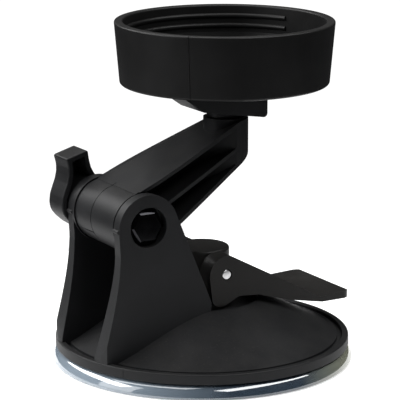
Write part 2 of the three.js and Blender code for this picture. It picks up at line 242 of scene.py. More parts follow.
def round_post(name, x, y, radius, low, high, segments=96):
    """A round bar along Z."""
    outline = sweep(x, y, radius, 0, 360 * (1 - 1 / segments), segments - 1)
    return plate(name, outline, low, high, "XY")


def hexagon(x, y, across):
    return sweep(x, y, across / math.sqrt(3), 0, 300, 5)


def freeze(obj):
    """Turns the evaluated object into its plain mesh and takes its modifiers off."""
    graph = bpy.context.evaluated_depsgraph_get()
    mesh = bpy.data.meshes.new_from_object(obj.evaluated_get(graph))
    old = obj.data
    obj.modifiers.clear()
    obj.data = mesh
    if old.users == 0:
        bpy.data.meshes.remove(old)
    return obj


def combine(obj, tools, operation):
    """Joins, cuts or keeps the common part of obj and each tool; the tools are used up."""
    for tool in tools:
        mod = obj.modifiers.new("combine", "BOOLEAN")
        mod.operation = operation
        mod.solver = "EXACT"
        mod.object = tool
        freeze(obj)
        bpy.data.objects.remove(tool)
    return obj


def cut(obj, *tools):
    return combine(obj, tools, "DIFFERENCE")


def fuse(obj, *tools):
    return combine(obj, tools, "UNION")


def common(obj, *tools):
    return combine(obj, tools, "INTERSECT")


def soften(obj, width, segments=3):
    """Rounds every edge sharper than 30 degrees."""
    bm = bmesh.new()
    bm.from_mesh(obj.data)
    bmesh.ops.remove_doubles(bm, verts=bm.verts, dist=2e-3)
    bmesh.ops.dissolve_degenerate(bm, dist=1e-4, edges=bm.edges)
    bm.to_mesh(obj.data)
    bm.free()
    mod = obj.modifiers.new("soften", "BEVEL")
    mod.width = width
    mod.segments = segments
    mod.limit_method = "ANGLE"
    mod.angle_limit = math.radians(30)
    mod.miter_outer = "MITER_ARC"
    return freeze(obj)


def place(obj, body, nodes, material, smooth_deg=35):
    """Sets a finished piece down in metres, on its body, in place of its CAD nodes."""
    obj.data.transform(Matrix.Scale(MM, 4))
    obj.data.shade_smooth()
    obj.data.set_sharp_from_angle(angle=math.radians(smooth_deg))
    obj.data.materials.clear()
    obj.data.materials.append(material)
    mod = obj.modifiers.new("weights", "WEIGHTED_NORMAL")
    mod.keep_sharp = True
    freeze(obj)
    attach(obj, body)
    if nodes:
        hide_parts(*nodes)


# ---- shader helpers ----
class Graph:
    """Short hand for adding and linking the nodes of one tree."""

    def __init__(self, tree):
        self.tree = tree
        self.links = tree.links

    def add(self, kind, **settings):
        node = self.tree.nodes.new(kind)
        for key, value in settings.items():
            setattr(node, key, value)
        return node

    def link(self, source, target):
        self.links.new(source, target)

    def math(self, operation, a, b=0.0, clamp=False):
        node = self.add("ShaderNodeMath", operation=operation, use_clamp=clamp)
        for socket, value in zip(node.inputs, (a, b)):
            self.feed(socket, value)
        return node.outputs[0]

    def feed(self, socket, value):
        if isinstance(value, bpy.types.NodeSocket):
            self.link(value, socket)
        else:
            socket.default_value = value

    def ramp(self, value, low, high):
        node = self.add("ShaderNodeMapRange")
        self.feed(node.inputs["Value"], value)
        node.inputs["From Min"].default_value = low
        node.inputs["From Max"].default_value = high
        return node.outputs["Result"]

    def noise(self, where, scale, detail=3.0, rough=0.55):
        node = self.add("ShaderNodeTexNoise")
        self.feed(node.inputs["Vector"], where)
        self.feed(node.inputs["Scale"], scale)
        node.inputs["Detail"].default_value = detail
        node.inputs["Roughness"].default_value = rough
        return node.outputs["Fac"]


def shader_group(name, inputs, outputs):
    """A new shader group: (name, default) inputs, where no default means a vector, and named float outputs."""
    group = bpy.data.node_groups.new(name, "ShaderNodeTree")
    for label, default in inputs:
        kind = "NodeSocketVector" if default is None else "NodeSocketFloat"
        socket = group.interface.new_socket(label, in_out="INPUT", socket_type=kind)
        if default is not None:
            socket.default_value = default
    for label in outputs:
        group.interface.new_socket(label, in_out="OUTPUT", socket_type="NodeSocketFloat")
    graph = Graph(group)
    return group, graph, graph.add("NodeGroupInput"), graph.add("NodeGroupOutput")


def make_moulded_grain():
    """Fine spark-eroded texture of a moulded surface, as a height, with soft patches of tone."""
    group, g, put, got = shader_group(
        "moulded_grain", [("Vector", None), ("Scale", 2600.0), ("Patches", 60.0)], ["Height", "Tone"])
    fine = g.noise(put.outputs["Vector"], put.outputs["Scale"], 2.0, 0.6)
    cells = g.add("ShaderNodeTexVoronoi")
    g.link(put.outputs["Vector"], cells.inputs["Vector"])
    g.link(put.outputs["Scale"], cells.inputs["Scale"])
    g.link(g.math("ADD", fine, g.math("MULTIPLY", cells.outputs["Distance"], 0.5)), got.inputs["Height"])
    g.link(g.noise(put.outputs["Vector"], put.outputs["Patches"], 4.0), got.inputs["Tone"])
    return group


def make_edge_wear_and_sheen():
    """Mask of the lighter line along rounded edges, partly wear and partly a painted edge sheen, broken up by noise.
    """
    group, g, put, got = shader_group(
        "edge_wear_and_painted_sheen", [("Vector", None), ("Radius", 0.0006), ("Amount", 0.5)], ["Mask"])
    round_normal = g.add("ShaderNodeBevel", samples=4)
    g.link(put.outputs["Radius"], round_normal.inputs["Radius"])
    surface = g.add("ShaderNodeNewGeometry")
    dot = g.add("ShaderNodeVectorMath", operation="DOT_PRODUCT")
    g.link(round_normal.outputs["Normal"], dot.inputs[0])
    g.link(surface.outputs["Normal"], dot.inputs[1])
    # lighter edges: partly wear, partly a painted edge sheen
    edge = g.ramp(g.math("SUBTRACT", 1.0, dot.outputs["Value"]), 0.01, 0.2)
    broken = g.ramp(g.noise(put.outputs["Vector"], 420.0, 5.0), 0.35, 0.65)
    g.link(g.math("MULTIPLY", g.math("MULTIPLY", edge, broken), put.outputs["Amount"]), got.inputs["Mask"])
    return group


def make_settled_dust():
    """Mask of faint dust on faces that look up, thicker in patches."""
    group, g, put, got = shader_group("settled_dust", [("Vector", None), ("Amount", 0.1)], ["Mask"])
    surface = g.add("ShaderNodeNewGeometry")
    split = g.add("ShaderNodeSeparateXYZ")
    g.link(surface.outputs["Normal"], split.inputs[0])
    facing = g.ramp(split.outputs["Z"], 0.4, 1.0)
    patches = g.ramp(g.noise(put.outputs["Vector"], 90.0, 6.0, 0.65), 0.35, 0.8)
    specks = g.ramp(g.noise(put.outputs["Vector"], 1500.0, 2.0), 0.62, 0.72)
    both = g.math("ADD", g.math("MULTIPLY", patches, 0.6), specks)
    g.link(g.math("MULTIPLY", g.math("MULTIPLY", facing, both), put.outputs["Amount"]), got.inputs["Mask"])
    return group


def make_hairlines():
    """Mask of fine handling scratches that run mostly one way."""
    group, g, put, got = shader_group("hairlines", [("Vector", None), ("Amount", 0.3)], ["Mask"])
    stretch = g.add("ShaderNodeMapping")
    stretch.inputs["Scale"].default_value = (60.0, 900.0, 2400.0)
    stretch.inputs["Rotation"].default_value = (0.3, 0.2, 0.5)
    g.link(put.outputs["Vector"], stretch.inputs["Vector"])
    lines = g.ramp(g.noise(stretch.outputs["Vector"], 1.0, 2.0), 0.68, 0.74)
    g.link(g.math("MULTIPLY", lines, put.outputs["Amount"]), got.inputs["Mask"])
    return group


GRAIN = make_moulded_grain()
EDGE_WEAR_AND_SHEEN = make_edge_wear_and_sheen()
DUST = make_settled_dust()
HAIRLINES = make_hairlines()


def use_group(g, group, where, **values):
    node = g.add("ShaderNodeGroup", node_tree=group)
    g.link(where, node.inputs["Vector"])
    for label, value in values.items():
        node.inputs[label].default_value = value
    return node.outputs


def blank_material(name):
    material = bpy.data.materials.new(name)
    material.use_nodes = True
    g = Graph(material.node_tree)
    shader = next(n for n in material.node_tree.nodes if n.type == "BSDF_PRINCIPLED")
    where = g.add("ShaderNodeTexCoord").outputs["Object"]
    return material, g, shader, where


def mix_color(g, factor, a, b):
    node = g.add("ShaderNodeMix", data_type="RGBA")
    g.feed(node.inputs["Factor"], factor)
    for label, value in (("A", a), ("B", b)):
        socket = next(s for s in node.inputs if s.name == label and s.type == "RGBA")
        g.feed(socket, value)
    return next(s for s in node.outputs if s.type == "RGBA")


def moulded_plastic(name, color, roughness, bump=0.12, wear_and_sheen=0.45, specular=0.5):
    """Textured black moulding: grain, tone patches, rubbed edges with a painted edge sheen, hairlines and a little
    dust.
    """
    material, g, shader, where = blank_material(name)
    grain = use_group(g, GRAIN, where, Scale=2600.0)
    edge_wear_sheen_mask = use_group(g, EDGE_WEAR_AND_SHEEN, where, Amount=wear_and_sheen)["Mask"]
    dusty = use_group(g, DUST, where, Amount=0.05)["Mask"]
    lines = use_group(g, HAIRLINES, where, Amount=0.25)["Mask"]
    dark = tuple(c * 0.8 for c in color) + (1.0,)
    light = tuple(c * 1.25 for c in color) + (1.0,)
    pale = tuple(c * 2.4 + 0.004 for c in color) + (1.0,)
    base = mix_color(g, g.ramp(grain["Tone"], 0.3, 0.7), dark, light)
    # pale edges: partly wear, partly a painted edge sheen
    base = mix_color(g, edge_wear_sheen_mask, base, pale)
    base = mix_color(g, dusty, base, (0.32, 0.3, 0.27, 1.0))
    g.link(base, shader.inputs["Base Color"])
    rough = g.math("ADD", roughness - 0.06, g.math("MULTIPLY", grain["Tone"], 0.12))
    rough = g.math("SUBTRACT", rough, g.math("MULTIPLY", edge_wear_sheen_mask, 0.15))
    rough = g.math("ADD", rough, g.math("MULTIPLY", lines, 0.2), clamp=True)
    g.link(rough, shader.inputs["Roughness"])
    shader.inputs["Specular IOR Level"].default_value = specular
    relief = g.add("ShaderNodeBump")
    relief.inputs["Strength"].default_value = bump
    relief.inputs["Distance"].default_value = 0.0002
    g.link(g.math("SUBTRACT", grain["Height"], lines), relief.inputs["Height"])
    g.link(relief.outputs["Normal"], shader.inputs["Normal"])
    return material


def plated_metal(name, color, roughness, wear_and_sheen=0.2):
    """Plated steel with turning marks, hairlines and rubbed edges carrying a painted edge sheen."""
    material, g, shader, where = blank_material(name)
    grain = use_group(g, GRAIN, where, Scale=1800.0, Patches=200.0)
    edge_wear_sheen_mask = use_group(g, EDGE_WEAR_AND_SHEEN, where, Radius=0.0004, Amount=wear_and_sheen)["Mask"]
    lines = use_group(g, HAIRLINES, where, Amount=0.4)["Mask"]
    dark = tuple(c * 0.75 for c in color) + (1.0,)
    light = tuple(min(1.0, c * 1.15) for c in color) + (1.0,)
    base = mix_color(g, grain["Tone"], dark, light)
    # bright edges: partly wear, partly a painted edge sheen
    base = mix_color(g, edge_wear_sheen_mask, base, (0.75, 0.75, 0.76, 1.0))
    g.link(base, shader.inputs["Base Color"])
    shader.inputs["Metallic"].default_value = 1.0
    rough = g.math("ADD", roughness - 0.04, g.math("MULTIPLY", grain["Tone"], 0.1))
    g.link(g.math("ADD", rough, g.math("MULTIPLY", lines, 0.25), clamp=True), shader.inputs["Roughness"])
    relief = g.add("ShaderNodeBump")
    relief.inputs["Strength"].default_value = 0.06
    relief.inputs["Distance"].default_value = 0.0001
    g.link(g.math("SUBTRACT", grain["Height"], lines), relief.inputs["Height"])
    g.link(relief.outputs["Normal"], shader.inputs["Normal"])
    return material


def clear_vinyl(name):
    """Clear flexible vinyl whose colour carries painted reflections: pale blue-grey to the left, dark blue-grey at
    the front and pale straw to the right, with soft waves, flow marks and dust.
    """
    material, g, shader, where = blank_material(name)
    waves = use_group(g, GRAIN, where, Scale=140.0, Patches=45.0)
    dusty = use_group(g, DUST, where, Amount=0.1)["Mask"]
    split = g.add("ShaderNodeSeparateXYZ")
    g.link(where, split.inputs[0])
    # painted reflections: colour runs from pale blue-grey on the left through dark blue-grey at the front to pale
    # straw on the right
    across = g.math("ADD", split.outputs["X"], g.math("MULTIPLY", split.outputs["Y"], -0.35))
    painted_reflection_left = mix_color(g, g.ramp(across, -0.05, 0.0), (0.25, 0.31, 0.37, 1.0), (0.016, 0.034, 0.058, 1.0))
    painted_reflection_sides = mix_color(g, g.ramp(across, 0.03, 0.06), painted_reflection_left, (0.3, 0.31, 0.22, 1.0))
    base = mix_color(g, g.math("MULTIPLY", waves["Tone"], 0.06), painted_reflection_sides, (0.8, 0.85, 0.88, 1.0))
    base = mix_color(g, dusty, base, (0.8, 0.8, 0.78, 1.0))
    g.link(base, shader.inputs["Base Color"])
    g.link(g.math("ADD", 0.02, g.math("MULTIPLY", waves["Tone"], 0.06)), shader.inputs["Roughness"])
    shader.inputs["Transmission Weight"].default_value = 0.25
    shader.inputs["IOR"].default_value = 1.5
    shader.inputs["Specular IOR Level"].default_value = 1.0
    shader.inputs["Coat Weight"].default_value = 1.0
    shader.inputs["Coat Roughness"].default_value = 0.03
    shader.inputs["Coat IOR"].default_value = 1.7
    relief = g.add("ShaderNodeBump")
    relief.inputs["Strength"].default_value = 0.05
    relief.inputs["Distance"].default_value = 0.0003
    g.link(waves["Height"], relief.inputs["Height"])
    g.link(relief.outputs["Normal"], shader.inputs["Normal"])
    return material


BLACK = moulded_plastic("black_moulding", (0.0075, 0.0078, 0.0086), 0.5, specular=0.2)
RING_BLACK = moulded_plastic("ring_moulding", (0.0065, 0.0065, 0.0066), 0.42, bump=0.06, wear_and_sheen=0.3, specular=0.2)
WARM_BLACK = moulded_plastic("warm_black_moulding", (0.009, 0.0085, 0.008), 0.45, specular=0.2)
BUSH = moulded_plastic("nylon_bush", (0.03, 0.03, 0.031), 0.35, bump=0.05)
BRIGHT = plated_metal("bright_plated_steel", (0.62, 0.62, 0.63), 0.28)
# painted shade: bright steel coloured near black for the swivel washers, which sit in shade between the collar and
# the block
SHADE_DARKENED_STEEL = plated_metal("shade_darkened_plated_steel", (0.03, 0.03, 0.031), 0.45)
DARK_STEEL = plated_metal("black_plated_steel", (0.02, 0.02, 0.022), 0.14, wear_and_sheen=0.1)
VINYL = clear_vinyl("clear_vinyl")


# ---- geometry nodes ----
def node_tree(name, inputs):
    """A geometry node tree with (name, socket type, default) inputs and one geometry output."""
    tree = bpy.data.node_groups.new(name, "GeometryNodeTree")
    tree.interface.new_socket("Geometry", in_out="INPUT", socket_type="NodeSocketGeometry")
    for label, kind, default in inputs:
        socket = tree.interface.new_socket(label, in_out="INPUT", socket_type="NodeSocket" + kind)
        if default is not None:
            socket.default_value = default
    tree.interface.new_socket("Geometry", in_out="OUTPUT", socket_type="NodeSocketGeometry")
    g = Graph(tree)
    return tree, g, g.add("NodeGroupInput").outputs, g.add("NodeGroupOutput").inputs["Geometry"]


def end_tree(g, geometry, material, result):
    """Every tree ends in Realize Instances and Set Material."""
    real = g.add("GeometryNodeRealizeInstances")
    paint = g.add("GeometryNodeSetMaterial")
    g.link(geometry, real.inputs["Geometry"])
    g.link(real.outputs["Geometry"], paint.inputs["Geometry"])
    g.link(material, paint.inputs["Material"])
    g.link(paint.outputs["Geometry"], result)


def moved(g, geometry, translation, rotation=(0, 0, 0)):
    node = g.add("GeometryNodeTransform")
    g.link(geometry, node.inputs["Geometry"])
    g.feed(node.inputs["Translation"], translation)
    g.feed(node.inputs["Rotation"], rotation)
    return node.outputs["Geometry"]


def make_thread_tree():
    """A round ridge that follows a helix about Z, such as a screw thread."""
    tree, g, put, result = node_tree("thread_ridge", [
        ("Radius", "Float", 40.0), ("Pitch", "Float", 4.0), ("Turns", "Float", 2.0),
        ("Ridge", "Float", 0.9), ("Start", "Float", 0.0), ("Middle", "Vector", (0, 0, 0)),
        ("Material", "Material", None)])
    helix = g.add("GeometryNodeCurveSpiral")
    helix.inputs["Resolution"].default_value = 160
    helix.inputs["Reverse"].default_value = True
    g.link(put["Turns"], helix.inputs["Rotations"])
    g.link(put["Radius"], helix.inputs["Start Radius"])
    g.link(put["Radius"], helix.inputs["End Radius"])
    g.link(g.math("MULTIPLY", put["Turns"], put["Pitch"]), helix.inputs["Height"])
    section = g.add("GeometryNodeCurvePrimitiveCircle")
    section.inputs["Resolution"].default_value = 12
    g.link(put["Ridge"], section.inputs["Radius"])
    ridge = g.add("GeometryNodeCurveToMesh")
    g.link(helix.outputs["Curve"], ridge.inputs["Curve"])
    g.link(section.outputs["Curve"], ridge.inputs["Profile Curve"])
    ridge.inputs["Fill Caps"].default_value = True
    spin = g.add("ShaderNodeCombineXYZ")
    g.link(put["Start"], spin.inputs["Z"])
    end_tree(g, moved(g, ridge.outputs["Mesh"], put["Middle"], spin.outputs[0]), put["Material"], result)
    return tree


def make_teeth_tree():
    """V-shaped teeth round a face that looks along Y, such as a clamp's serration."""
    tree, g, put, result = node_tree("face_teeth", [
        ("Count", "Int", 36), ("Radius", "Float", 10.0), ("Length", "Float", 3.0), ("Depth", "Float", 0.7),
        ("Middle", "Vector", (0, 0, 0)), ("Material", "Material", None)])
    ring = g.add("GeometryNodeMeshCircle")
    g.link(put["Count"], ring.inputs["Vertices"])
    g.link(put["Radius"], ring.inputs["Radius"])
    tooth = g.add("GeometryNodeMeshCylinder")
    tooth.inputs["Vertices"].default_value = 3
    g.link(put["Depth"], tooth.inputs["Radius"])
    g.link(put["Length"], tooth.inputs["Depth"])
    point = g.add("GeometryNodeInputPosition")
    aim = g.add("FunctionNodeAlignRotationToVector", axis="Z")
    g.link(point.outputs[0], aim.inputs["Vector"])
    seat = g.add("GeometryNodeInstanceOnPoints")
    g.link(ring.outputs["Mesh"], seat.inputs["Points"])
    g.link(tooth.outputs["Mesh"], seat.inputs["Instance"])
    g.link(aim.outputs[0], seat.inputs["Rotation"])
    turned_up = moved(g, seat.outputs["Instances"], put["Middle"], (math.pi / 2, 0, 0))
    end_tree(g, turned_up, put["Material"], result)
    return tree


def make_fastener_tree():
    """One fastener, put at the corners of a rectangle."""
    tree, g, put, result = node_tree("fasteners", [
        ("Fastener", "Object", None), ("Size X", "Float", 10.0), ("Size Y", "Float", 10.0),
        ("Middle", "Vector", (0, 0, 0)), ("Material", "Material", None)])
    grid = g.add("GeometryNodeMeshGrid")
    grid.inputs["Vertices X"].default_value = 2
    grid.inputs["Vertices Y"].default_value = 2
    g.link(put["Size X"], grid.inputs["Size X"])
    g.link(put["Size Y"], grid.inputs["Size Y"])
    source = g.add("GeometryNodeObjectInfo")
    g.link(put["Fastener"], source.inputs["Object"])
    seat = g.add("GeometryNodeInstanceOnPoints")
    g.link(grid.outputs["Mesh"], seat.inputs["Points"])
    g.link(source.outputs["Geometry"], seat.inputs["Instance"])
    end_tree(g, moved(g, seat.outputs["Instances"], put["Middle"]), put["Material"], result)
    return tree


THREAD_TREE = make_thread_tree()
TEETH_TREE = make_teeth_tree()
FASTENER_TREE = make_fastener_tree()


def grown(name, tree, **values):
    """A plain mesh made by a node tree from its named inputs."""
    obj = bpy.data.objects.new(name, bpy.data.meshes.new(name))
    bpy.context.scene.collection.objects.link(obj)
    mod = obj.modifiers.new("grow", "NODES")
    mod.node_group = tree
    ids = {item.name: item.identifier for item in tree.interface.items_tree if item.in_out == "INPUT"}
    for label, value in values.items():
        mod[ids[label.replace("_", " ")]] = value
    return freeze(obj)


# ---- turned and hexagonal hardware ----
def turned_y(name, profile, x, z, segments=64):
    """A solid turned about the line along Y through (x, z); the profile is (radius, y)."""
    obj = turned(name, profile, segments)
    obj.data.transform(Matrix.Translation((x, 0, z)) @ Matrix.Rotation(-math.pi / 2, 4, "X"))
    return obj


def ring_profile(inner, outer, low, high, fillet):
    return rounded([(inner, low, fillet), (outer, low, fillet), (outer, high, fillet), (inner, high, fillet)])


def hex_nut(name, across, bore, low, high):
    """A nut along Z at the origin, with chamfered corners."""
    nut = plate(name, hexagon(0, 0, across), low, high, "XY")
    corner = across / math.sqrt(3)
    chamfer = 0.12 * across
    limit = turned("limit", [
        (0, low), (across / 2 - 0.2, low), (corner + 0.1, low + chamfer * 0.5),
        (corner + 0.1, high - chamfer * 0.5), (across / 2 - 0.2, high), (0, high)], 64)
    common(nut, limit)
    if bore:
        cut(nut, turned("bore", [(0, low - 1), (bore, low - 1), (bore, high + 1), (0, high + 1)], 48))
    return soften(nut, 0.12, 2)


def along_y(obj, x, y, z):
    """Turns a piece made along Z to lie along Y, and puts its origin at (x, y, z)."""
    obj.data.transform(Matrix.Translation((x, y, z)) @ Matrix.Rotation(-math.pi / 2, 4, "X"))
    return obj


# ---- base ----
def dome_curve():
    """The dome's outer line from the landing's edge to the foot."""
    start = (LANDING_R + 1.0, DOME_TOP)
    end = (53.9, RIM_TOP - 0.3)
    return [start] + bezier(start, (33, DOME_TOP - 3.7), (42, RIM_TOP + 4.3), end, 14)


def dome_shell():
    """The hollow dome with its landing, guide, groove and rim."""
    curve = dome_curve()
    inner = [(min(r - 0.9, 51.8), z - DOME_WALL) for r, z in reversed(curve)]
    profile = [
        (GUIDE_R, 16, 0.3), (GUIDE_R, LANDING_Z, 0.4), (LANDING_R, LANDING_Z, 0.3),
        (LANDING_R + 0.25, DOME_TOP, 0.2), *curve,
        (54.0, GROOVE_Z, 0.2), (55.7, GROOVE_Z, 0.2), (55.9, RIM_TOP, 0.3),
        (RIM_R - 0.1, RIM_TOP, 0.55), (RIM_R, RIM_BOTTOM, 0.5), (51.8, RIM_BOTTOM, 0.3),
        *inner, (14.2, LANDING_Z - DOME_WALL, 0.5), (14.2, 16, 0.3),
    ]
    return turned("base_dome", rounded(profile, math.radians(15)), 192)


def under_dome():
    """Everything below the middle of the dome's wall, to cut the ears' feet."""
    line = [(r, z - 1.2) for r, z in dome_curve()]
    return turned("under", [(0, LANDING_Z - 1.2), (LANDING_R, LANDING_Z - 1.2), *line, (54, 7.6),
                            (70, 7.6), (70, -5), (0, -5)], 96)


def ear_outline():
    """An ear seen from its side: a curved left edge, a round top and a right edge that leans."""
    lean = math.radians(EAR_LEAN_DEG)
    touch = (PIVOT.x + EAR_R * math.cos(lean), PIVOT.z + EAR_R * math.sin(lean))
    drop_x = touch[0] + (touch[1] - 27) * math.tan(lean)
    left = [(-57, 2), (-55.6, 11)] + bezier((-55.6, 11), (-52.4, 24), (-48.6, 36), (EAR_LEFT + 0.5, 50), 10)
    left += bezier((EAR_LEFT + 0.5, 50), (EAR_LEFT + 0.5, 53), (EAR_LEFT, 57), (EAR_LEFT, PIVOT.z), 5)
    top = sweep(PIVOT.x, PIVOT.z, EAR_R, 180, EAR_LEAN_DEG, 40)
    right = [(drop_x, 27, 6), (-9, 22.4), (-9, 2)]
    return rounded(left + top[1:] + right)


def ear(side):
    """One ear, near (-1) or far (1); the near one takes the bolt's head in a round recess."""
    wall = plate("ear", ear_outline(), -30, 30)
    section = [(EAR_OUT, 2), (EAR_OUT, 90), (EAR_OUT - EAR_T, 90), (EAR_OUT - EAR_T, EAR_FLARE_Z),
               (EAR_FOOT_IN, 2)]
    across = plate("across", [(side * y, z) for y, z in section], -90, 30, "YZ")
    common(wall, across, turned("limit", [(0, 0), (RIM_R - 0.25, 0), (RIM_R - 0.25, 90), (0, 90)], 192))
    cut(wall, under_dome(), round_bar("bolt_hole", PIVOT.x, PIVOT.z, BOLT_HOLE_R, -60, 60, 64))
    mark = round_bar("mark", EAR_LEFT + 0.05, PIVOT.z - 0.4, 0.8, -60, 60, 16)
    faces = sorted((side * (EAR_OUT - 0.3), side * (EAR_OUT - EAR_T + 0.3)))
    limit = plate("mark_limit", [(-60, 50), (-40, 50), (-40, 70), (-60, 70)], *faces)
    fuse(wall, common(mark, limit))
    if side < 0:
        cut(wall, round_bar("head_hole", PIVOT.x, PIVOT.z, HEAD_HOLE_R, -60, HEAD_HOLE_DEPTH - EAR_OUT))
    return soften(wall, 0.55, 3)


def make_base():
    base = fuse(dome_shell(), ear(-1), ear(1))
    notch = plate("notch", [(-0.12, RIM_R - 0.2), (0.12, RIM_R - 0.2), (0.12, 62), (-0.12, 62)],
                  RIM_BOTTOM - 1, RIM_TOP + 1, "XY")
    notch.data.transform(Matrix.Rotation(math.radians(RIM_NOTCH_DEG - 90), 4, "Z"))
    cut(base, notch)
    place(base, "base", ["base_shell"], BLACK)


def make_cup():
    lip = [(46, 0, 2), (CUP_R - 0.5, 0, 0.2), (CUP_R, 0.5),
           *bezier((CUP_R, 0.5), (CUP_R - 0.1, 2.3), (58.8, 4.3), (57.4, 5.0), 10), (56.6, 5.3, 0.3), (50, 5.3, 1)]
    hub = [(30, 7.2, 4), (20, 8.6, 1), (17, 12, 0.6), (0, 12)]
    cup = turned("suction_cup_clear", rounded([(0, 3.5), (14, 3.5, 4), (36, 1.4, 4), *lip, *hub]), 192)
    cup.data.transform(Matrix.Scale(MM, 4))
    cup.data.shade_smooth()
    cup.data.materials.append(VINYL)
    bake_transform(cup)
    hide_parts("suction_cup")


def make_pivot_bolt():
    head_out = -EAR_OUT + HEAD_HOLE_DEPTH - 0.3
    corner = BOLT_ACROSS / math.sqrt(3)
    bolt = turned("pivot_bolt_hex", [
        (0, -0.1), (corner - 1.6, 0), (corner - 0.1, 0.95), (corner, 1.1), (corner, BOLT_HEAD), (0, BOLT_HEAD)], 6)
    face = head_out - BOLT_HEAD
    shank_end = span_mm("pivot_bolt")[1].y - face
    profile = [(0, 1.5), (BOLT_R, 1.5), (BOLT_R, shank_end - 12)]
    for k in range(9):
        z = shank_end - 12 + k * 1.25
        profile += [(BOLT_R, z + 0.2), (3.45, z + 0.75), (BOLT_R, z + 1.25)]
    profile += [(3.4, shank_end), (0, shank_end)]
    fuse(bolt, turned("shank", profile, 48))
    along_y(bolt, PIVOT.x, face, PIVOT.z)
    place(bolt, "base", ["pivot_bolt"], DARK_STEEL, 25)


# ---- stem and lever ----
def make_stem():
    stem = turned("cup_stem_post", rounded([
        (0, STEM_LOW), (18, STEM_LOW, 0.3), (18, STEM_LOW + 1.2, 0.4), (STEM_R + 1, STEM_LOW + 2.2, 0.5),
        (STEM_R, STEM_LOW + 3.4, 0.5), (STEM_R, STEM_TOP, 1.1), (0, STEM_TOP)]), 128)
    cut(stem, round_bar("pin_hole", PIN.x, PIN.z, PIN_R + 0.25, -30, 30, 48))
    place(stem, "stem", ["cup_stem"], WARM_BLACK)


def make_pin():
    end = LEVER_HALF
    pin = turned_y("lever_pin_steel", rounded([
        (0, -end), (PIN_R, -end + 0.1, 0.4), (PIN_R, end - 0.1, 0.4), (0, end)]), PIN.x, PIN.z, 48)
    place(pin, "stem", ["lever_pin"], BRIGHT)


def lever_outline():
    """The lever seen from its side: round hub, cam and paddle."""
    hub = sweep(PIN.x, PIN.z, HUB_R, 78, 185, 28)
    cam = sweep(PIN.x + CAM_X, PIN.z + CAM_Z, CAM_R, 205, 300, 16)
    rest = [(5.6, -9.3, 3), (14.8, -10, 3), (29.8, -14.5, 6), (44.7, -17.4, 2), (PADDLE_OUT, -17.4, 1.1),
            (PADDLE_OUT, -14.4, 1.1), (43.7, -15, 1.5)]
    return rounded(hub + cam + [(x, PIN.z + z, r) for x, z, r in rest])


def make_lever():
    """Two cheeks either side of the post, joined by the paddle."""
    plan = rounded([(-20, -LEVER_HALF), (PADDLE_OUT, -LEVER_HALF, 4), (PADDLE_OUT, LEVER_HALF, 4),
                    (-20, LEVER_HALF)])
    lever = common(plate("lock_lever_paddle", lever_outline(), -LEVER_HALF, LEVER_HALF),
                   plate("plan", plan, 0, 90, "XY"))
    slot = rounded([(-30, -CHEEK_IN), (13.4, -CHEEK_IN, 2), (13.4, CHEEK_IN, 2), (-30, CHEEK_IN)])
    cut(lever, plate("slot", slot, 0, 90, "XY"), round_bar("pin_hole", PIN.x, PIN.z, PIN_R + 0.2, -30, 30, 48))
    soften(lever, 0.5, 3)
    place(lever, "lever", ["lock_lever"], WARM_BLACK)


# ---- clamp knob ----
KNOB_HALF = [
    (13.2, 1.2, 4), (11.2, 4.4, 4), (8.6, 7.4, 4), (5.6, 9.6, 4), (3.3, 11.8, 4), (2.5, 15.4, 4), (2.6, 19, 4),
    (3.1, 22.6, 0.9), (-6.9, 22.6, 0.9), (-7.0, 18.6, 6), (-7.8, 15.8, 6), (-9.3, 13.1, 6), (-11.2, 10.6, 6),
    (-13, 8.1, 6), (-14.2, 5.1, 6), (-14.6, 2, 6)]


def knob_plate(name, inset, low, high):
    """The knob's leaning outline, moved in by a wall's thickness; its second half is the first turned round."""
    rim = KNOB_HALF + [(-x, -z, r) for x, z, r in KNOB_HALF]
    moved_in = []
    for k, (x, z, r) in enumerate(rim):
        here, nearest = Vector((x, z)), Vector(rim[(k + 1) % len(rim)][:2])
        back = (here - Vector(rim[k - 1][:2])).orthogonal().normalized()
        ahead = (nearest - here).orthogonal().normalized()
        inward = (back + ahead).normalized()
        corner = here + inward * (inset / inward.dot(back))
        moved_in.append((corner.x, corner.y, max(0.4, r - inset)))
    cos, sin = math.cos(KNOB_LEAN), math.sin(KNOB_LEAN)
    leaning = [(PIVOT.x + x * cos - z * sin, PIVOT.z + x * sin + z * cos) for x, z in rounded(moved_in)]
    return plate(name, leaning, low, high)


def make_knob():
    """Two wings round a core, hollowed from behind, with room for the nut and a seat for the washer."""
    low, high = KNOB_LO.y, KNOB_HI.y
    knob = soften(knob_plate("clamp_knob_wings", 0, low, high), 0.6, 3)
    pocket = knob_plate("pocket", KNOB_WALL, low - 1, high - KNOB_WALL)
    cut(pocket, round_bar("core", PIVOT.x, PIVOT.z, KNOB_CORE_R, low - 2, high))
    nut_room = hexagon(PIVOT.x, PIVOT.z, BOLT_ACROSS + 0.6)
    cut(knob, pocket, plate("nut_pocket", nut_room, low - 1, high - 2.2),
        round_bar("washer_seat", PIVOT.x, PIVOT.z, 8.9, low - 1, low + 1.5))
    place(knob, "knob", ["clamp_knob"], BLACK)


def make_knob_hardware():
    lo, hi = span_mm("knob_washer")
    washer = turned_y("knob_washer_steel", ring_profile(BOLT_HOLE_R, 8.5, lo.y, hi.y, 0.2), PIVOT.x, PIVOT.z)
    place(washer, "knob", ["knob_washer"], BRIGHT)
    lo, hi = span_mm("knob_nut")
    nut = along_y(hex_nut("knob_nut_steel", BOLT_ACROSS, BOLT_HOLE_R, 0, hi.y - lo.y), PIVOT.x, lo.y, PIVOT.z)
    place(nut, "knob", ["knob_nut"], BRIGHT)


# ---- tilting arm ----
# Each line is its height at the pivot and its slope.
ARM_TOP_LINE = (74.8, 0.431)
ARM_RIB_LINE = (63.4, 0.474)
ARM_BOTTOM_LINE = (48.0, 0.628)
ARM_END_X = span_mm("tilt_arm")[1].x
ARM_END_R = 10.0


def on_line(line, x, drop=0.0):
    """The point of a line at x, set lower by drop."""
    return (x, line[0] + line[1] * (x - PIVOT.x) - drop)


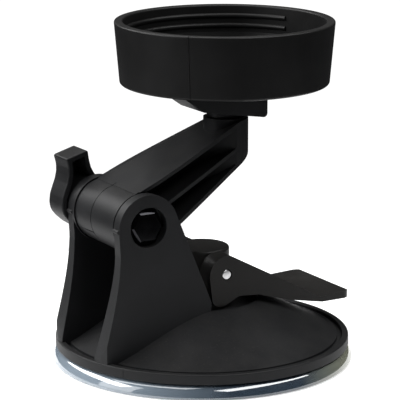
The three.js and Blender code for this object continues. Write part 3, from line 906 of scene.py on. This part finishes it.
def arm_beam():
    """The arm's solid beam, narrowing from the barrel to its round end, with a level pad at the end."""
    pad = 95.6
    flat_x = PIVOT.x + (pad - ARM_TOP_LINE[0]) / ARM_TOP_LINE[1]
    side = rounded([
        on_line(ARM_TOP_LINE, -38.4, 0.4), (flat_x, pad, 6), (ARM_END_X + 2, pad),
        on_line(ARM_BOTTOM_LINE, ARM_END_X + 2, -2.5), on_line(ARM_BOTTOM_LINE, ARM_END_X - 2.2) + (3,),
        on_line(ARM_BOTTOM_LINE, -29.6), (PIVOT.x, PIVOT.z)])
    centre = ARM_END_X - ARM_END_R
    side_edge = bezier((-32, BARREL_HALF), (-22, BARREL_HALF), (-12, 14.2), (11.8, 9.73), 14)[:-1]
    plan = [(-50, -BARREL_HALF), (-32, -BARREL_HALF), *[(x, -y) for x, y in side_edge],
            *sweep(centre, 0, ARM_END_R, -76.6, 76.6, 40), *reversed(side_edge),
            (-32, BARREL_HALF), (-50, BARREL_HALF)]
    return common(plate("tilt_arm_beam", side, -30, 30), plate("plan", plan, 40, 110, "XY"))


def arm_pocket(low_line, low_drop, high_line, high_drop):
    """A pocket between two of the arm's ribs, with a rounded far end."""
    start, end = -34, 13
    return rounded([on_line(low_line, start, low_drop), on_line(low_line, end - 2, low_drop) + (2.5,),
                    on_line(high_line, end, high_drop) + (1.5,), on_line(high_line, start, high_drop)])


def make_arm():
    """Beam, barrel and collar; two pockets on each side; a seam round the barrel and a step at each end."""
    arm = arm_beam()
    flange, rib, web = 1.9, 1.6, 1.2
    pockets = [arm_pocket(ARM_RIB_LINE, 0, ARM_TOP_LINE, flange),
               arm_pocket(ARM_BOTTOM_LINE, -flange, ARM_RIB_LINE, rib)]
    ramp = [(-60, web), *bezier((-5, web), (1, 2.4), (5, 8), (10.8, 10.6), 12), (10.8, 30), (-60, 30)]
    for outline in pockets:
        for side in (1, -1):
            depth = plate("depth", [(x, side * y) for x, y in ramp], 40, 110, "XY")
            cut(arm, common(plate("pocket", outline, -30, 30), depth))
    collar = round_post("collar", HEAD_X, 0, COLLAR_R, 88, COLLAR_TOP)
    fuse(arm, round_bar("barrel", PIVOT.x, PIVOT.z, BARREL_R, -BARREL_HALF, BARREL_HALF, 128), collar)
    nut_hole = plate("nut_hole", hexagon(HEAD_X, 0, SCREW_ACROSS + 0.6), 60, 87.3, "XY")
    for low, high, depth in ((2.4, 2.8, 0.22), (-BARREL_HALF - 1, 0.7 - BARREL_HALF, 0.7),
                             (BARREL_HALF - 0.7, BARREL_HALF + 1, 0.7)):
        seam = ring_profile(BARREL_R - depth, BARREL_R + 0.6, low, high, 0)
        cut(arm, turned_y("seam", seam, PIVOT.x, PIVOT.z, 128))
    cut(arm, round_bar("bore", PIVOT.x, PIVOT.z, 6.8, -40, 40), nut_hole,
        round_post("screw_bore", HEAD_X, 0, SCREW_HOLE_R, 60, 120, 48))
    soften(arm, 0.4, 2)
    place(arm, "arm", ["tilt_arm"], BLACK, 30)


def make_arm_hardware():
    for name in ("near", "far"):
        lo, hi = span_mm("arm_bush_" + name)
        bush = turned_y("bush_" + name, ring_profile(BOLT_HOLE_R, 6.5, lo.y, hi.y, 0.3), PIVOT.x, PIVOT.z)
        place(bush, "arm", ["arm_bush_" + name], BUSH)
    teeth = grown("clamp_teeth", TEETH_TREE, Count=60, Radius=10.9, Length=3.0, Depth=0.5,
                  Middle=(PIVOT.x, BARREL_HALF - 0.3, PIVOT.z), Material=BLACK)
    place(teeth, "arm", (), BLACK)
    lo, hi = span_mm("swivel_nut")
    nut = hex_nut("swivel_nut_steel", SCREW_ACROSS, SCREW_R + 0.15, lo.z, hi.z)
    nut.data.transform(Matrix.Translation((HEAD_X, 0, 0)))
    place(nut, "arm", ["swivel_nut"], BRIGHT)


# ---- swivelling head ----
def make_bracket():
    """The block under the ring, with a round seat for a washer above and below its bore."""
    outline = rounded([(BLOCK_LO.x, BLOCK_HI.z), (-4.2, 100.1, 1.5), (24.6, 95.4, 1.6), (24.6, BLOCK_HI.z)])
    block = plate("head_bracket_block", outline, -BLOCK_HALF, BLOCK_HALF)
    cut(block, round_post("bore", HEAD_X, 0, SCREW_HOLE_R, 90, 120, 48),
        round_post("low_seat", HEAD_X, 0, SEAT_R, 90, 99.1), round_post("high_seat", HEAD_X, 0, SEAT_R, 104.6, 120))
    soften(block, 0.5, 3)
    place(block, "head", ["head_bracket"], BLACK)


def make_swivel_hardware():
    for which in ("lower", "upper"):
        lo, hi = span_mm("swivel_washer_" + which)
        profile = ring_profile(SCREW_HOLE_R, 7, lo.z, hi.z, 0.25)
        washer = turned("swivel_washer_" + which + "_steel", profile, 96, HEAD_X)
        # painted shade: these bright steel washers get the near-black steel for the shade they sit in
        place(washer, "head", ["swivel_washer_" + which], SHADE_DARKENED_STEEL)
    lo, hi = span_mm("swivel_screw")
    screw = hex_nut("swivel_screw_steel", SCREW_ACROSS, 0, hi.z - 2.4, hi.z)
    profile = [(0, lo.z), (2.4, lo.z)]
    for k in range(10):
        z = lo.z + 0.4 + k
        profile += [(SCREW_R, z + 0.1), (2.55, z + 0.55), (SCREW_R, z + 1)]
    fuse(screw, turned("shank", profile + [(SCREW_R, hi.z - 2), (0, hi.z - 2)], 48))
    screw.data.transform(Matrix.Translation((HEAD_X, 0, 0)))
    place(screw, "head", ["swivel_screw"], BRIGHT, 25)


def make_ring():
    """The ring with its floor, screw holes and two mould seams, and the two ridges of its thread."""
    low, high = RING_LO.z, RING_HI.z
    floor_r = RING_R_LOW - RING_WALL
    ring = turned("threaded_ring_body", rounded([
        (0, low), (RING_R_LOW, low, 1.1), (RING_R_HIGH, high, 0.7), (RING_BORE, high, 0.7),
        (RING_BORE, high - 11, 1), (floor_r, RING_FLOOR, 1.5), (0, RING_FLOOR)]), 256, HEAD_X)
    for node in range(1, 5):
        lo, hi = span_mm(f"ring_screw_{node}")
        cut(ring, round_post("hole", (lo.x + hi.x) / 2, (lo.y + hi.y) / 2, 3.1, RING_FLOOR - 2, 130, 32))
    for turn in RING_SEAMS_DEG:
        seam = plate("seam", [(-0.1, RING_R_LOW - 0.05), (0.1, RING_R_LOW - 0.05), (0.1, 46), (-0.1, 46)],
                     low - 1, high + 1, "XY")
        seam.data.transform(Matrix.Rotation(math.radians(turn - 90), 4, "Z"))
        seam.data.transform(Matrix.Translation((HEAD_X, 0, 0)))
        cut(ring, seam)
    place(ring, "head", ["threaded_ring"], RING_BLACK)
    for row, drop in enumerate(THREAD_DROPS):
        ridge = grown(f"ring_thread_{row + 1}", THREAD_TREE, Radius=RING_BORE + 0.2, Pitch=-0.9, Turns=0.86,
                      Ridge=1.05, Start=math.radians(21), Middle=(HEAD_X, 0, high - drop), Material=RING_BLACK)
        place(ridge, "head", (), RING_BLACK)


def small_screw():
    """A pan-head screw with a cross recess, its head's top at the origin."""
    screw = turned("small_screw", rounded([
        (0, -10.2), (0.8, -10.2), (1.4, -9), (1.4, -1.6), (2.8, -1.6, 0.2), (2.8, -0.7, 0.5), (1.2, 0, 0.5),
        (0, 0)]), 32)
    for turn in (0, 90):
        slot = plate("slot", [(-1.5, -0.35), (1.5, -0.35), (1.5, 0.35), (-1.5, 0.35)], -0.9, 1, "XY")
        slot.data.transform(Matrix.Rotation(math.radians(turn), 4, "Z"))
        cut(screw, slot)
    return screw


def make_ring_screws():
    first, last = centre_mm("ring_screw_1"), centre_mm("ring_screw_4")
    screw = small_screw()
    middle = ((first.x + last.x) / 2, (first.y + last.y) / 2, RING_FLOOR - 0.1)
    screws = grown("ring_screws", FASTENER_TREE, Fastener=screw, Size_X=last.x - first.x,
                   Size_Y=last.y - first.y, Middle=middle, Material=BRIGHT)
    bpy.data.objects.remove(screw)
    place(screws, "head", [f"ring_screw_{k}" for k in range(1, 5)], BRIGHT)


make_base()
make_cup()
make_pivot_bolt()
make_stem()
make_pin()
make_lever()
make_knob()
make_knob_hardware()
make_arm()
make_arm_hardware()
make_bracket()
make_swivel_hardware()
make_ring()
make_ring_screws()


# ---- floor, lights and camera ----
def make_floor():
    """A small pale floor that glows a little, just below the cup."""
    bm = bmesh.new()
    bmesh.ops.create_grid(bm, x_segments=1, y_segments=1, size=0.17)
    floor = new_object("pale_floor", bm)
    floor.location.z = -0.0002
    material = bpy.data.materials.new("pale_floor")
    material.use_nodes = True
    shader = next(n for n in material.node_tree.nodes if n.type == "BSDF_PRINCIPLED")
    shader.inputs["Base Color"].default_value = (0.7, 0.7, 0.7, 1.0)
    shader.inputs["Roughness"].default_value = 0.8
    shader.inputs["Emission Color"].default_value = (1.0, 1.0, 1.0, 1.0)
    shader.inputs["Emission Strength"].default_value = 0.5
    floor.data.materials.append(material)


def add_light(name, location, target, size, power):
    lamp = bpy.data.lights.new(name, "AREA")
    lamp.shape = "RECTANGLE"
    lamp.size, lamp.size_y = size
    lamp.energy = power
    obj = bpy.data.objects.new(name, lamp)
    bpy.context.scene.collection.objects.link(obj)
    obj.location = location
    obj.rotation_euler = (Vector(target) - Vector(location)).to_track_quat("-Z", "Y").to_euler()


def make_world():
    """Plain white to the camera, and only a faint fill for everything else."""
    world = bpy.data.worlds.new("studio")
    bpy.context.scene.world = world
    world.use_nodes = True
    g = Graph(world.node_tree)
    world.node_tree.nodes.clear()
    seen = g.add("ShaderNodeBackground")
    seen.inputs["Color"].default_value = (1, 1, 1, 1)
    seen.inputs["Strength"].default_value = 1.1
    lit = g.add("ShaderNodeBackground")
    lit.inputs["Color"].default_value = (0.95, 0.97, 1.0, 1)
    lit.inputs["Strength"].default_value = 0.04
    mix = g.add("ShaderNodeMixShader")
    g.link(g.add("ShaderNodeLightPath").outputs["Is Camera Ray"], mix.inputs[0])
    g.link(lit.outputs[0], mix.inputs[1])
    g.link(seen.outputs[0], mix.inputs[2])
    g.link(mix.outputs[0], g.add("ShaderNodeOutputWorld").inputs[0])


def make_camera():
    azimuth, pitch = math.radians(-30.3), math.radians(13.5)
    data = bpy.data.cameras.new("camera")
    data.sensor_width = 36
    data.lens = 197.5
    data.clip_start, data.clip_end = 0.05, 50
    camera = bpy.data.objects.new("camera", data)
    bpy.context.scene.collection.objects.link(camera)
    back = Vector((math.sin(azimuth) * math.cos(pitch), -math.cos(azimuth) * math.cos(pitch), math.sin(pitch)))
    camera.location = (-0.42552, -0.7266, 0.2653)
    camera.rotation_mode = "QUATERNION"
    camera.rotation_quaternion = back.to_track_quat("Z", "Y")
    bpy.context.scene.camera = camera


make_floor()
make_world()
add_light("overhead", (-0.1, 0.2, 0.9), (0, 0, 0.05), (1.1, 0.8), 9)
add_light("left_side", (-0.9, 0.1, 0.35), (0, 0, 0.07), (0.5, 0.7), 2.6)
add_light("front_window", (0.28, -0.42, 0.72), (0, 0, 0.02), (1.1, 0.25), 6)
add_light("left_window", (-0.6, 0.5, 0.55), (0, 0, 0.02), (1.2, 0.3), 9)
make_camera()
bpy.context.scene.view_settings.view_transform = "Standard"
